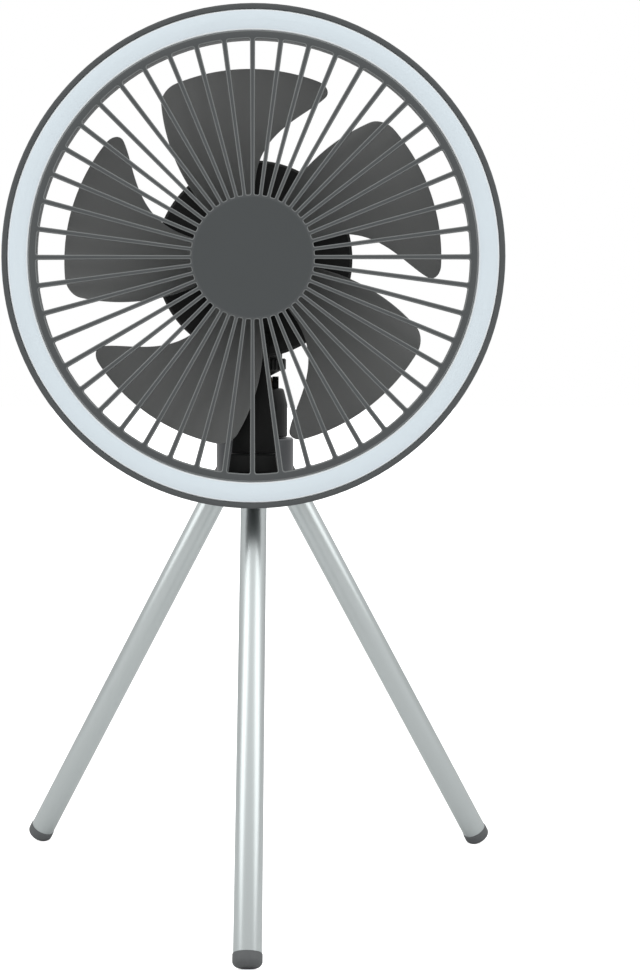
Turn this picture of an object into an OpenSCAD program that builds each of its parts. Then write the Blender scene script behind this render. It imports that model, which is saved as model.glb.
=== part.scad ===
// Portable camping fan: a ring-lit fan head on a folding tripod stand.
// Lengths are in millimetres. +Z is up and the fan blows towards -Y.

/* [Ring and light] */
// Outer diameter of the ring round the fan
ring_d = 240; // [225:1:255]
// Depth of the ring from its face to its back
ring_depth = 19; // [17:0.5:21]
// Wall of the ring's channel
ring_wall = 2.2; // [1.8:0.1:2.6]
// How much smaller the ring's back is than its face, on the radius
ring_taper = 7; // [5:0.5:9]
// Width of the dark lip outside the light
lip_w = 2.6; // [2.4:0.1:3.5]
// Width of the light's lens
lens_w = 10.3; // [9:0.1:13]
// Thickness of the light's lens at its edges
lens_t = 1.7; // [1.4:0.1:2.2]
// Number of light chips on the ring's board
chip_count = 48; // [24:6:72]

/* [Grille] */
// Number of radial ribs
rib_count = 48; // [36:4:60]
// Width of a rib at the centre disc
rib_root_w = 1.8; // [1.4:0.1:2.4]
// Width of a rib at the rim
rib_tip_w = 2.4; // [1.8:0.1:3]
// Thickness of the grille
grille_t = 3.2; // [2.4:0.2:4]
// Diameter of the blank disc at the centre
disc_d = 59.2; // [56:0.2:66]
// Width of the rim between the ribs and the light
rim_w = 3.8; // [3:0.1:5]

/* [Fan] */
// Number of blades
blade_count = 5; // [3:1:7]
// Clearance between the blade tips and the ring
tip_gap = 12.6; // [9:0.1:16]
// Depth of the blades along the axis
blade_depth = 15; // [11:0.5:17]
// Thickness of a blade at mid chord
blade_t = 1.8; // [1.4:0.1:2.4]
// Width of a blade at the tip, in degrees
blade_tip_angle = 54; // [44:1:58]
// Width of a blade at the root, in degrees
blade_root_angle = 45.4; // [38:0.2:52]
// How far the leading edge sweeps forward, in degrees
lead_sweep = 24; // [14:1:30]
// Diameter of the fan's hub
fan_hub_d = 54; // [52:1:56]
// Clearance between the fan and what is in front of it and behind it
fan_gap = 2.4; // [2:0.1:3.5]

/* [Motor] */
// Diameter of the shaft
shaft_d = 3; // [2.5:0.1:3.2]
// Outer diameter of a ball bearing
bearing_d = 8; // [7.5:0.1:9]
// Width of a ball bearing
bearing_w = 4; // [3:0.5:4.5]
// Gap between the stator's teeth and the magnet
air_gap = 0.5; // [0.3:0.1:1]
// Number of stator teeth
tooth_count = 9; // [6:3:12]

/* [Housing] */
// Diameter of the housing behind the fan
housing_d = 96.4; // [94:0.2:102]
// Wall of the housing
housing_wall = 2.2; // [1.8:0.1:2.8]
// Depth of the housing's front half
front_half = 10; // [8:0.5:11]
// Diameter of a battery cell
cell_d = 18.4; // [18:0.1:18.6]
// Length of a battery cell
cell_len = 65; // [63:0.5:66]
// Diameter of the housing's screws
screw_d = 3; // [2.5:0.1:3.2]
// Diameter of a button on the back
button_d = 9; // [7:0.5:10]
// Travel of a button
button_travel = 0.8; // [0.5:0.1:1]
// Diameter of the hanging bail's wire
bail_wire = 3; // [2.4:0.1:3.4]
// Width of the hanging bail between the middles of its sides
bail_w = 36; // [30:1:42]
// Drop of the hanging bail below its pivot
bail_drop = 26; // [20:1:30]

/* [Arm] */
// Width of the arm at the housing
arm_top_w = 13.8; // [12:0.2:16]
// Width of the arm where it meets the ring
arm_foot_w = 27; // [22:0.5:32]
// What the arm gains on each side, evenly down its length, before it flares into its foot
arm_spread = 4.2; // [2:0.2:5]
// Thickness of the arm
arm_t = 6.6; // [6:0.1:7.2]

/* [Neck] */
// Diameter of the lock wheel
wheel_d = 31.2; // [29:0.2:33]
// Height of the lock wheel
wheel_h = 6.2; // [5:0.1:8]
// Diameter of the stud that carries the fan head
stud_d = 6.2; // [5.6:0.1:6.6]
// Width of the tilt knuckle
knuckle_w = 16; // [14:0.2:17]
// Thickness of an ear of the fork
ear_t = 3.1; // [2.6:0.1:3.6]
// Radius of the ears round the tilt pin
ear_r = 4.5; // [4:0.1:4.8]
// Diameter of the tilt pin
tilt_pin_d = 3; // [2.5:0.1:3.2]
// Diameter of the neck's barrel
neck_d = 32.6; // [31:0.2:35]
// Height of the neck's barrel
neck_h = 24.2; // [22:0.2:30]

/* [Stand] */
// Diameter of a leg's tube
leg_d = 12.7; // [12:0.1:13.2]
// Wall of a leg's tube
leg_wall = 1.2; // [0.8:0.1:1.6]
// Length of a leg from its hinge to its end
leg_len = 244.6; // [225:0.2:260]
// Angle of an open leg from the vertical
leg_spread = 31; // [29:0.5:32]
// Radius of the circle of leg hinges
hinge_r = 13; // [12.6:0.1:14]
// Height of the hub
hub_h = 18.2; // [18:0.2:24]
// Thickness of a leg's tongue in the hub
tongue_t = 8; // [7:0.1:8.6]
// Diameter of the leg hinge pins
leg_pin_d = 3; // [2.5:0.1:3.4]
// Diameter of the swivel bolt
bolt_d = 6; // [5:0.1:6.2]
// Diameter of a foot cap
foot_d = 13.3; // [13.2:0.1:15]
// Length of a foot cap
foot_len = 6; // [5:0.1:10]

/* [Clearances] */
// Between a turning shaft or pin and its hole, on the radius
running_gap = 0.05; // [0.03:0.01:0.08]
// Between faces that slide past each other
slide_gap = 0.1; // [0.08:0.01:0.15]
// Round a piece that drops into a pocket
pocket_gap = 0.2; // [0.15:0.01:0.3]

/* [Hidden] */
$fn = 72;
big = 400;

// Ring and light, as radii from the fan's axis
ring_r = ring_d / 2;
lens_r_out = ring_r - lip_w;
lens_r_in = lens_r_out - lens_w;
grille_r_in = lens_r_in - rim_w;
skirt_t = 1.3;
ring_in_r = lens_r_in - skirt_t - ring_wall;
ring_draft = 1.4;
rim_t = 2.4;
lens_seat = 2.2;
seat_w = 1.6;
ledge_t = 1.5;
skirt_end = lens_seat + ledge_t + 1;
face_r = 1;
back_r = 3;
back_turn = 20;
straight_side = 7;
board_t = 1.6;
led_board_d = 8;
chip_t = 0.8;
post_n = 6;
post_r = 2.4;
led_board_in = lens_r_in + 0.6;
led_board_out = lens_r_out - seat_w - 0.3;
led_mid_r = (led_board_in + led_board_out) / 2;

// Fan: depths are measured back from the ring's face
disc_r = disc_d / 2;
hub_r = fan_hub_d / 2;
blade_r = ring_in_r - tip_gap;
rotor_z = grille_t + fan_gap - 0.4;
blade_z = grille_t + fan_gap;
blade_back = blade_z + blade_depth;
cup_wall = 2;
cup_depth = blade_back - rotor_z - 0.5;
yoke_t = 1.3;
magnet_t = 1.6;
magnet_r = hub_r - cup_wall - yoke_t - magnet_t;
stator_r = magnet_r - air_gap;
blade_phase = 65;
sweep_r = hub_r + 3.7;
trail_sweep = lead_sweep + blade_root_angle - blade_tip_angle;
edge_t = 0.6;

// Housing
housing_r = housing_d / 2;
housing_z = blade_back + fan_gap;
seam_z = housing_z + front_half;
boss_r = wheel_d / 2 - 1.9;
screw_ring = housing_r - housing_wall - 4.9;
screw_angles = [57, 123, 237, 303];

// Stand and neck: heights from the floor
leg_r = leg_d / 2;
foot_r = foot_d / 2;
foot_edge = 2.6;
foot_cut = 0.4;
shoulder = 10;
foot_lift = foot_edge - foot_edge * cos(leg_spread)
    + (foot_r - foot_edge) * sin(leg_spread) - foot_cut;
hinge_z = leg_len * cos(leg_spread) + foot_lift;
stand_r = hinge_r + leg_r;
hub_z = hinge_z - 5.7;
hub_top = hub_z + hub_h;
washer_t = 0.5;
neck_z = hub_top + washer_t + slide_gap;
neck_r = neck_d / 2;
neck_top = neck_z + neck_h;
tilt_z = neck_top + 1.5;
ear_gap = 0.5;
drum_r = ear_r + 0.4;
flange_z = tilt_z + ear_r + ear_gap;
flange_h = 2.2;
wheel_z = flange_z + flange_h + slide_gap;
boss_z = wheel_z + wheel_h + slide_gap;
head_z = boss_z + 0.3 + housing_r;

// The head stands far enough forward for the ring's back to clear the legs
leg_gap = 1.6;
post_reach = 49;
ring_back_z = head_z - (ring_r - ring_taper);
leg_face = hinge_r + (hinge_z - ring_back_z) * tan(leg_spread) + leg_r / cos(leg_spread);
head_reach = max(post_reach, ring_depth + leg_face + leg_gap);
housing_back = head_reach + boss_r + 0.8;
back_in = housing_back - housing_wall;

// Electronics, as depths
board_gap = 4.4;
board_back = back_in - board_gap;
board_front = board_back - board_t;
cell_r = cell_d / 2;
cell_z = board_front - 0.6 - cell_r;
cell_pitch = cell_d + 0.8;
panel_y = 36;
port_w = 9.6;
port_h = 4;
button_x = port_w / 2 + button_d / 2 + 1.7;
arm_z = housing_z - 1.7;
arm_back = arm_z + arm_t;

// The origin is on the floor, in the middle of the footprint
foot_out = hinge_r + (leg_len - foot_edge) * sin(leg_spread);
front_out = foot_out + (foot_r - foot_edge) * cos(leg_spread) + foot_edge;
rear_out = foot_out / 2 + foot_edge
    + (foot_r - foot_edge) * sqrt(1 - pow(sin(leg_spread) / 2, 2));
post_y = (front_out - rear_out) / 2;

// ---------- Shared shapes ----------

module stand_frame() translate([0, post_y, 0]) children();

// Head frame: X right, Y up, Z out of the ring's face towards the viewer
module head_frame() translate([0, post_y - head_reach, head_z]) rotate([90, 0, 0]) children();

// Leg frame: the hinge is at the origin and the leg runs down -Z, its outside towards +X
module leg_frame(azimuth) {
    stand_frame() rotate([0, 0, azimuth]) translate([hinge_r, 0, hinge_z])
        rotate([0, -leg_spread, 0]) children();
}

module tube(r_out, r_in, z0, z1) {
    translate([0, 0, z0]) difference() {
        cylinder(h = z1 - z0, r = r_out);
        translate([0, 0, -1]) cylinder(h = z1 - z0 + 2, r = r_in);
    }
}

module rod(r, z0, z1) translate([0, 0, z0]) cylinder(h = z1 - z0, r = r);

// The same thing on both sides of the middle
module both_sides() {
    children();
    mirror([1, 0, 0]) children();
}

// A flat outline in (Y, Z) carried along X
module across(x0, x1) translate([x0, 0, 0]) rotate([90, 0, 90]) linear_extrude(x1 - x0) children();

module slab(x0, x1, y0, y1, z0, z1) translate([x0, y0, z0]) cube([x1 - x0, y1 - y0, z1 - z0]);

function arc(cx, cy, r, a0, a1, n) =
    [for (i = [0:n]) [cx + r * cos(a0 + (a1 - a0) * i / n), cy + r * sin(a0 + (a1 - a0) * i / n)]];

// A corner at b between a and c, blended over the length r
function blend(a, b, c, r) = let(
        p = b + (a - b) * r / norm(a - b),
        q = b + (c - b) * r / norm(c - b))
    [for (t = [0, 0.25, 0.5, 0.75, 1])
        p * (1 - t) * (1 - t) + b * 2 * t * (1 - t) + q * t * t];

function grid_faces(rows, cols, base, flip) = [
    for (i = [0:rows - 2], j = [0:cols - 2]) let(
            a = base + i * cols + j, b = a + 1, c = a + cols, d = c + 1)
        each flip ? [[a, c, b], [b, c, d]] : [[a, b, c], [b, d, c]]];

// ---------- Tripod stand ----------

slot_w = tongue_t + 0.6;
tongue_r = 5;
bolt_head_r = 5.4;
bolt_head_h = 3.4;
bolt_well = hub_z + 5;
// The leg pins are pressed in and their holes plugged flush, so the hub's side stays smooth
pin_half = sqrt(pow(stand_r, 2) - pow(hinge_r + leg_pin_d / 2, 2)) - 0.6;

module hub() color("silver") stand_frame() difference() {
    rotate_extrude() polygon([
        [0, hub_z], [stand_r - 0.8, hub_z], [stand_r, hub_z + 0.8],
        [stand_r, hub_top - 0.8], [stand_r - 0.8, hub_top], [0, hub_top]]);
    rod(bolt_head_r + 0.5, hub_z - 1, bolt_well);
    rod(bolt_d / 2, hub_z - 1, hub_top + 1);
    for (a = [-90, 30, 150]) rotate([0, 0, a]) {
        translate([hinge_r - tongue_r - 0.8, -slot_w / 2, hub_z - 1])
            cube([big, slot_w, hinge_z + tongue_r + 1 - hub_z + 1]);
        leg_pin();
    }
}

module leg_pin() translate([hinge_r, -pin_half, hinge_z]) rotate([-90, 0, 0])
    cylinder(h = 2 * pin_half, r = leg_pin_d / 2);

module leg_pins() color("gainsboro") stand_frame() for (a = [-90, 30, 150])
    rotate([0, 0, a]) leg_pin();

nut_h = 4;
neck_floor = 5;
nut_z = neck_z + neck_floor + slide_gap + 2 * washer_t;

module swivel_bolt() color("gray") stand_frame() union() {
    translate([0, 0, bolt_well - bolt_head_h]) cylinder(h = bolt_head_h, r = bolt_head_r, $fn = 6);
    rod(bolt_d / 2, bolt_well - 0.5, nut_z + nut_h + 1.5);
}

// The lower washer carries the neck and the upper pair presses it down
module swivel_washers() color("white") stand_frame() {
    tube(neck_r - 4.3, bolt_d / 2, hub_top, hub_top + washer_t);
    tube(bolt_d / 2 + 3, bolt_d / 2, nut_z - 2 * washer_t, nut_z);
}

module swivel_nut() color("gray") stand_frame() difference() {
    translate([0, 0, nut_z]) cylinder(h = nut_h, r = 5.6, $fn = 6);
    rod(bolt_d / 2, nut_z - 1, nut_z + nut_h + 1);
}

tube_top = -shoulder - 1.5;
plug_len = 11;
tube_end = -leg_len + foot_len;
plug_r = leg_r - leg_wall;

module leg_tube(azimuth) color("lightslategray") leg_frame(azimuth)
    tube(leg_r, plug_r, tube_end, tube_top);

module leg_knuckle(azimuth) color("dimgray") leg_frame(azimuth) difference() {
    union() {
        translate([0, tongue_t / 2, 0]) rotate([90, 0, 0]) cylinder(h = tongue_t, r = tongue_r);
        slab(-tongue_r, tongue_r, -tongue_t / 2, tongue_t / 2, -shoulder - 0.5, 0);
        rod(leg_r, tube_top, -shoulder);
        rod(plug_r, tube_top - plug_len, tube_top);
    }
    translate([0, big / 2, 0]) rotate([90, 0, 0])
        cylinder(h = big, r = leg_pin_d / 2 + running_gap);
}

module leg_foot(azimuth) color("dimgray") difference() {
    leg_frame(azimuth) union() {
        rotate_extrude() polygon(concat(
            [[0, -leg_len]],
            arc(foot_r - foot_edge, -leg_len + foot_edge, foot_edge, -90, 0, 6),
            [[foot_r, tube_end - 0.4], [foot_r - 0.4, tube_end], [0, tube_end]]));
        rod(plug_r, tube_end - 1, tube_end + 8);
    }
    translate([-big, -big, -big]) cube([2 * big, 2 * big, big]);
}

// ---------- Neck ----------

cavity_r = 7.2;
ear_in = knuckle_w / 2 + 0.8;
trough_r = drum_r + 0.5;

module neck_barrel() color([0.12, 0.12, 0.12]) stand_frame() difference() {
    union() {
        rotate_extrude() polygon(concat(
            [[0, neck_z], [neck_r - 0.5, neck_z], [neck_r, neck_z + 0.5],
                [neck_r, neck_top - 8]],
            arc(neck_r - 3.1, neck_top - 1.5, 1.5, 10, 90, 5),
            [[0, neck_top]]));
        both_sides() {
            translate([ear_in, 0, tilt_z]) rotate([0, 90, 0]) cylinder(h = ear_t, r = ear_r);
            slab(ear_in, ear_in + ear_t, -ear_r, ear_r, neck_top - 2, tilt_z);
        }
    }
    rod(bolt_d / 2 + running_gap, neck_z - 1, neck_top);
    rod(cavity_r, neck_z + neck_floor, neck_top + 1);
    translate([-ear_in, 0, tilt_z]) rotate([0, 90, 0]) cylinder(h = 2 * ear_in, r = trough_r);
    translate([-big / 2, 0, tilt_z]) rotate([0, 90, 0]) cylinder(h = big, r = tilt_pin_d / 2);
}

module tilt_pin() color("silver") stand_frame()
    translate([-ear_in - ear_t + 0.3, 0, tilt_z]) rotate([0, 90, 0])
        cylinder(h = 2 * (ear_in + ear_t - 0.3), r = tilt_pin_d / 2);

module friction_washers() color("tan") stand_frame() both_sides()
    translate([knuckle_w / 2 + slide_gap, 0, tilt_z]) rotate([0, 90, 0])
        tube(ear_r - 0.4, tilt_pin_d / 2, 0, 0.6);

// ---------- Head carrier ----------

insert_r = 4.6;
insert_len = 10;
insert_z = boss_z + 2;
thread_gap = 0.08;

module tilt_knuckle() color([0.15, 0.15, 0.15]) stand_frame() difference() {
    union() {
        translate([-knuckle_w / 2, 0, tilt_z]) rotate([0, 90, 0])
            cylinder(h = knuckle_w, r = drum_r);
        slab(-knuckle_w / 2, knuckle_w / 2, -drum_r, drum_r, tilt_z, flange_z + 1);
        rotate_extrude() polygon([
            [0, flange_z], [knuckle_w / 2 + 0.3, flange_z],
            [wheel_d / 2 - 3.4, flange_z + flange_h - 0.2],
            [wheel_d / 2 - 3.4, flange_z + flange_h], [0, flange_z + flange_h]]);
        rod(stud_d / 2, flange_z + flange_h - 0.5, insert_z + insert_len - 1);
    }
    translate([-big / 2, 0, tilt_z]) rotate([0, 90, 0])
        cylinder(h = big, r = tilt_pin_d / 2 + running_gap);
}

flute_n = 40;
flute_r = 0.7;

module lock_wheel() color([0.1, 0.1, 0.1]) stand_frame() difference() {
    rotate_extrude() polygon([
        [stud_d / 2 + running_gap, wheel_z], [wheel_d / 2 - 1, wheel_z],
        [wheel_d / 2, wheel_z + 1], [wheel_d / 2, wheel_z + wheel_h - 0.6],
        [wheel_d / 2 - 0.6, wheel_z + wheel_h], [stud_d / 2 + running_gap, wheel_z + wheel_h]]);
    for (i = [0:flute_n - 1]) rotate([0, 0, (i + 0.5) * 360 / flute_n])
        translate([wheel_d / 2 + 0.15, 0, wheel_z - 1]) cylinder(h = wheel_h + 2, r = flute_r, $fn = 16);
}

module stud_insert() color("gold") stand_frame()
    tube(insert_r, stud_d / 2 + thread_gap, insert_z, insert_z + insert_len);

// ---------- Housing ----------

tube_in = bearing_d / 2;
tube_out = tube_in + 1.6;
tube_front = rotor_z + 6.2;
post_d = 8.4;
arm_screw_x = 4;
arm_screw_y = -housing_r + 6.5;
arm_screw_r = 1.25;
lead_r = 1;
cover_t = 1;
channel_in = arm_back - cover_t - 2.3;
lead_z = channel_in + lead_r + 0.05;

module housing_front() color([0.12, 0.12, 0.12]) head_frame() difference() {
    union() {
        rotate_extrude() polygon([
            [0, -housing_z], [housing_r - 1.2, -housing_z], [housing_r, -housing_z - 1.2],
            [housing_r, -seam_z], [housing_r - housing_wall, -seam_z],
            [housing_r - housing_wall, -housing_z - housing_wall], [0, -housing_z - housing_wall]]);
        rod(tube_out, -housing_z - 1, -tube_front);
        rod(tube_out + 1, -housing_z - housing_wall - 1.6, -housing_z - 1);
        for (a = screw_angles) rotate([0, 0, a]) translate([screw_ring, 0, 0])
            rod(post_d / 2, -seam_z, -housing_z - 1);
        for (a = [30, 150, 270]) rotate([0, 0, a]) translate([board_post_r, 0, 0])
            rod(1.5, -housing_z - 0.5, -motor_board_z - board_t);
    }
    rod(tube_in, -tube_front - 0.4 - bearing_w, -tube_front + 1);
    rod(tube_in - 0.8, -rear_bearing_z - 1, -tube_front);
    rod(tube_in, -housing_z - housing_wall - 3, -rear_bearing_z);
    for (a = screw_angles) rotate([0, 0, a]) translate([screw_ring, 0, 0])
        rod(screw_d / 2, -seam_z - 1, -housing_z - housing_wall);
    along_y(0, -lead_z) rod(lead_r + 0.3, housing_r - housing_wall - 3, housing_r + 1);
    for (x = [-arm_screw_x, arm_screw_x]) translate([x, arm_screw_y, 0])
        rod(arm_screw_r, -housing_z - housing_wall - 2, -housing_z + 1);
}

// Along -Y from a point of the (X, Z) plane
module along_y(x, z) translate([x, 0, z]) rotate([90, 0, 0]) children();

back_edge = 5;
pivot_y = 12;
pivot_z = housing_back + bail_wire / 2 + 1.7;
lug_r = bail_wire / 2 + 1.6;
bail_turn = 4;
lug_out = bail_w / 2 - bail_turn - 0.6;
lug_in = lug_out - 3.2;
cell_rib_x = 21;

module rear_shell(r, wall_z, edge) rotate_extrude() polygon(concat(
    [[0, -seam_z], [r, -seam_z]],
    arc(r - edge, -wall_z + edge, edge, 0, -90, 6),
    [[0, -wall_z]]));

module port_shape(w, h, z0, z1) {
    slab(-w / 2 + h / 2, w / 2 - h / 2, -h / 2, h / 2, z0, z1);
    for (x = [-1, 1]) translate([x * (w / 2 - h / 2), 0, 0]) rod(h / 2, z0, z1);
}

module housing_rear() color([0.14, 0.14, 0.14]) head_frame() difference() {
    union() {
        difference() {
            union() {
                rear_shell(housing_r, housing_back, back_edge);
                stud_axis() rod(boss_r, boss_z - head_z, -housing_r + 4);
            }
            translate([0, 0, 0.01]) rear_shell(housing_r - housing_wall, back_in, back_edge - housing_wall);
        }
        stud_axis() rod(insert_r + 2.4, -housing_r + 0.5, insert_z - head_z + insert_len);
        for (a = screw_angles) rotate([0, 0, a]) translate([screw_ring, 0, 0])
            rod(post_d / 2, -back_in - 0.5, -seam_z);
        for (at = board_posts) translate(at) {
            rod(1.5, -back_in - 0.5, -board_back);
            rod(peg_r, -board_back - 0.5, -board_front + 0.5);
        }
        both_sides() {
            slab(cell_rib_x, cell_rib_x + 2, -cell_pitch - 4, 4, -back_in - 0.5, -cell_z - cell_r - 0.2);
            difference() {
                union() {
                    translate([lug_in, pivot_y, -pivot_z]) rotate([0, 90, 0])
                        cylinder(h = lug_out - lug_in, r = lug_r);
                    slab(lug_in, lug_out, pivot_y - lug_r, pivot_y + lug_r, -pivot_z, -back_in - 0.5);
                }
                translate([lug_in - 1, pivot_y, -pivot_z]) rotate([0, 90, 0])
                    cylinder(h = lug_out - lug_in + 2, r = bail_wire / 2 + running_gap);
            }
        }
    }
    stud_axis() rod(insert_r, insert_z - head_z, insert_z - head_z + insert_len + 1);
    stud_axis() rod(stud_d / 2 + 0.3, boss_z - head_z - 1, insert_z - head_z + 1);
    for (a = screw_angles) rotate([0, 0, a]) translate([screw_ring, 0, 0]) {
        rod(screw_d / 2 + 0.2, -housing_back - 1, -seam_z + 1);
        rod(screw_d / 2 + 1.5, -housing_back - 1, -back_in + 0.8);
    }
    for (x = [-button_x, button_x]) translate([x, panel_y, 0])
        rod(button_d / 2 + pocket_gap, -housing_back - 1, -back_in + 1);
    translate([0, panel_y, 0]) port_shape(port_w, port_h, -housing_back - 1, -back_in + 1);
    translate([0, lens_y, 0]) port_shape(charge_w, charge_h, -housing_back - 1, -back_in + 1);
}

// The stud's axis in the head frame: its Z runs up the stud
module stud_axis() translate([0, 0, -head_reach]) rotate([-90, 0, 0]) children();

module housing_screws() color("gray") head_frame() for (a = screw_angles)
    rotate([0, 0, a]) translate([screw_ring, 0, 0]) difference() {
        union() {
            rod(screw_d / 2, -back_in, -housing_z - housing_wall - 0.6);
            rod(screw_d / 2 + 1.4, -back_in - 1.2, -back_in + 0.8);
        }
        translate([-2, -0.4, -back_in - 2]) cube([4, 0.8, 1.4]);
        translate([-0.4, -2, -back_in - 2]) cube([0.8, 4, 1.4]);
    }

// ---------- Arm between the housing and the ring ----------

arm_top_y = -housing_r + 12;
arm_end_y = -ring_in_r - 7.5;
nose_y = -blade_r - 3.5;
nose_end = -ring_in_r + 0.2;
ring_screw_x = 8;
ring_screw_y = -ring_in_r - 4.2;
plate_t = 2;
lead_turn = 2.5;
lead_drop = nose_y - 3.5;
lead_enter = 15;
lead_up = ring_in_r + 6.2;
channel_top = -housing_r - 1.6;
channel_end = lead_drop - lead_r - 0.8;

// Half the arm's width: narrow at the housing, flaring out to meet the ring
function arm_half(y) = let(t = max(0, (arm_top_y - y) / (arm_top_y - arm_end_y)))
    arm_top_w / 2 + arm_spread * t + (arm_foot_w / 2 - arm_top_w / 2 - arm_spread) * pow(t, 6);

function arm_outline(y0, y1, trim, n) = concat(
    [for (i = [0:n]) let(y = y0 + (y1 - y0) * i / n) [arm_half(y) - trim, y]],
    [for (i = [n:-1:0]) let(y = y0 + (y1 - y0) * i / n) [-arm_half(y) + trim, y]]);

module arm_plan(y0, y1, trim, n) translate([0, 0, -big / 2])
    linear_extrude(big) polygon(arm_outline(y0, y1, trim, n));

// The lead's room inside the arm, and the rebate round it for the cover
module channel(trim) intersection() {
    arm_plan(channel_top, channel_end, trim, 8);
    across(-big, big) polygon([
        [channel_top, -channel_in], [channel_end, -channel_in],
        [channel_end, -arm_back - 1], [channel_top, -arm_back - 1]]);
}

module cover_plan(gap) intersection() {
    arm_plan(channel_top + 1.2 - gap, channel_end - 1.2 + gap, 1.8 + gap, 8);
    rod(big, -arm_back - 1, -arm_back + cover_t);
}

module rear_arm() color([0.1, 0.1, 0.1]) head_frame() difference() {
    intersection() {
        arm_plan(arm_top_y, arm_end_y, 0, 10);
        across(-arm_foot_w, arm_foot_w) polygon([
            [arm_top_y, -arm_z], [nose_y, -arm_z], [nose_y, -lead_enter + 3],
            [nose_y - 1, -lead_enter + 4], [nose_end, -lead_enter + 4], [nose_end, -ring_depth],
            [arm_end_y, -ring_depth], [arm_end_y, -ring_depth - plate_t],
            [channel_end - 5, -ring_depth - plate_t], [channel_end - 1.8, -arm_back],
            [arm_top_y, -arm_back]]);
    }
    // the housing stands in the arm's notch
    rod(housing_r + 0.05, -seam_z, -housing_z);
    channel(3.2);
    cover_plan(0);
    along_y(0, -lead_z) rod(lead_r + 0.3, housing_r - 1, -channel_top + 1);
    // the lead drops forward here and leaves through the nose
    slab(-lead_r - 0.3, lead_r + 0.3, channel_end, nose_y - 2, -channel_in - 1, -lead_enter + 1.6);
    slab(-lead_r - 0.3, lead_r + 0.3, nose_end - 1, nose_y - 2, -lead_enter - 1.6, -lead_enter + 1.6);
    for (x = [-arm_screw_x, arm_screw_x]) translate([x, arm_screw_y, 0]) {
        rod(arm_screw_r, -housing_z - 1, -arm_z + 1);
        rod(arm_screw_r + 1, -arm_z - 0.8, -arm_z + 1);
    }
    for (x = [-ring_screw_x, ring_screw_x]) translate([x, ring_screw_y, 0])
        rod(arm_screw_r, -ring_depth - plate_t - 1, 0);
}

module arm_cover() color([0.12, 0.12, 0.12]) head_frame() intersection() {
    cover_plan(slide_gap);
    rod(big, -arm_back, 0);
}

module arm_screws() color("gray") head_frame() {
    for (x = [-arm_screw_x, arm_screw_x]) translate([x, arm_screw_y, 0]) {
        rod(arm_screw_r, -housing_z - housing_wall - 0.4, -arm_z - 0.5);
        rod(arm_screw_r + 0.9, -arm_z - 0.8, -arm_z - 0.1);
    }
    for (x = [-ring_screw_x, ring_screw_x]) translate([x, ring_screw_y, 0]) {
        rod(arm_screw_r, -ring_depth - plate_t - 0.5, -ring_depth + 3.4);
        rod(arm_screw_r + 1.1, -ring_depth - plate_t - 1.2, -ring_depth - plate_t);
    }
}

// A quarter bend of the lead in the plane X = 0, about a point of (Y, Z)
module lead_bend(y, z, a) translate([0, y, z]) rotate([90, 0, 90]) rotate([0, 0, a])
    rotate_extrude(angle = 90) translate([lead_turn, 0]) circle(r = lead_r, $fn = 24);

// Two-core lead: out of the housing, down the arm, forward, and into the ring
module led_lead() color([0.2, 0.2, 0.2]) head_frame() union() {
    along_y(0, -lead_z) rod(lead_r, housing_r - housing_wall - 2, -lead_drop - lead_turn);
    lead_bend(lead_drop + lead_turn, -lead_z + lead_turn, 180);
    translate([0, lead_drop, 0]) rod(lead_r, -lead_z + lead_turn, -lead_enter - lead_turn);
    lead_bend(lead_drop - lead_turn, -lead_enter - lead_turn, 0);
    along_y(0, -lead_enter) rod(lead_r, -lead_drop + lead_turn, lead_up - lead_turn);
    lead_bend(-lead_up + lead_turn, -lead_enter + lead_turn, 180);
    translate([0, -lead_up, 0]) rod(lead_r, -lead_enter + lead_turn, -led_board_d);
}

// ---------- Ring and light ----------

module ring_housing() color([0.3, 0.31, 0.31]) head_frame() difference() {
    union() {
        rotate_extrude() polygon(concat(
            [[lens_r_out, -face_r * 0.3]],
            arc(ring_r - face_r, -face_r, face_r, 90, 0, 4),
            [[ring_r, -straight_side]],
            arc(ring_r - ring_taper - back_r, -ring_depth + back_r, back_r, back_turn, -90, 5),
            arc(ring_in_r + ring_draft + 1, -ring_depth + 1, 1, -90, -180, 3),
            [[ring_in_r, -rim_t], [ring_in_r + ring_wall, -rim_t],
                [ring_in_r + ring_wall, -skirt_end],
                [ring_in_r + ring_wall + ring_draft, -ring_depth + ring_wall],
                [ring_r - ring_taper - ring_wall, -ring_depth + ring_wall],
                [ring_r - ring_wall - 0.3, -straight_side],
                [ring_r - ring_wall - 0.3, -lens_seat - ledge_t],
                [lens_r_out - seat_w, -lens_seat - ledge_t],
                [lens_r_out - seat_w, -lens_seat], [lens_r_out, -lens_seat]]));
        board_fixings() rod(post_r, -ring_depth + ring_wall - 0.5, -led_board_d);
        for (x = [-ring_screw_x, ring_screw_x]) translate([x, ring_screw_y, 0])
            rod(2.2, -ring_depth + ring_wall - 0.5, -ring_depth + 4.4);
    }
    board_fixings() rod(board_screw_r, -led_board_d - 5, -led_board_d + 1);
    for (x = [-ring_screw_x, ring_screw_x]) translate([x, ring_screw_y, 0])
        rod(arm_screw_r, -ring_depth - 1, -ring_depth + 3.6);
    along_y(0, -lead_enter) rod(lead_r + 0.3, ring_in_r - 1, ring_in_r + ring_wall + ring_draft + 1);
}

board_screw_r = 0.9;

module board_fixings() for (i = [0:post_n - 1])
    rotate([0, 0, i * 360 / post_n]) translate([led_mid_r - 1, 0, 0]) children();

module led_board() color("white") head_frame() difference() {
    tube(led_board_out, led_board_in, -led_board_d, -led_board_d + board_t);
    board_fixings() rod(board_screw_r, -led_board_d - 1, -led_board_d + board_t + 1);
}

module board_screws() color("gray") head_frame() board_fixings() {
    rod(board_screw_r, -led_board_d - 4.5, -led_board_d + board_t);
    rod(board_screw_r + 0.8, -led_board_d + board_t, -led_board_d + board_t + 0.9);
}

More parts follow.
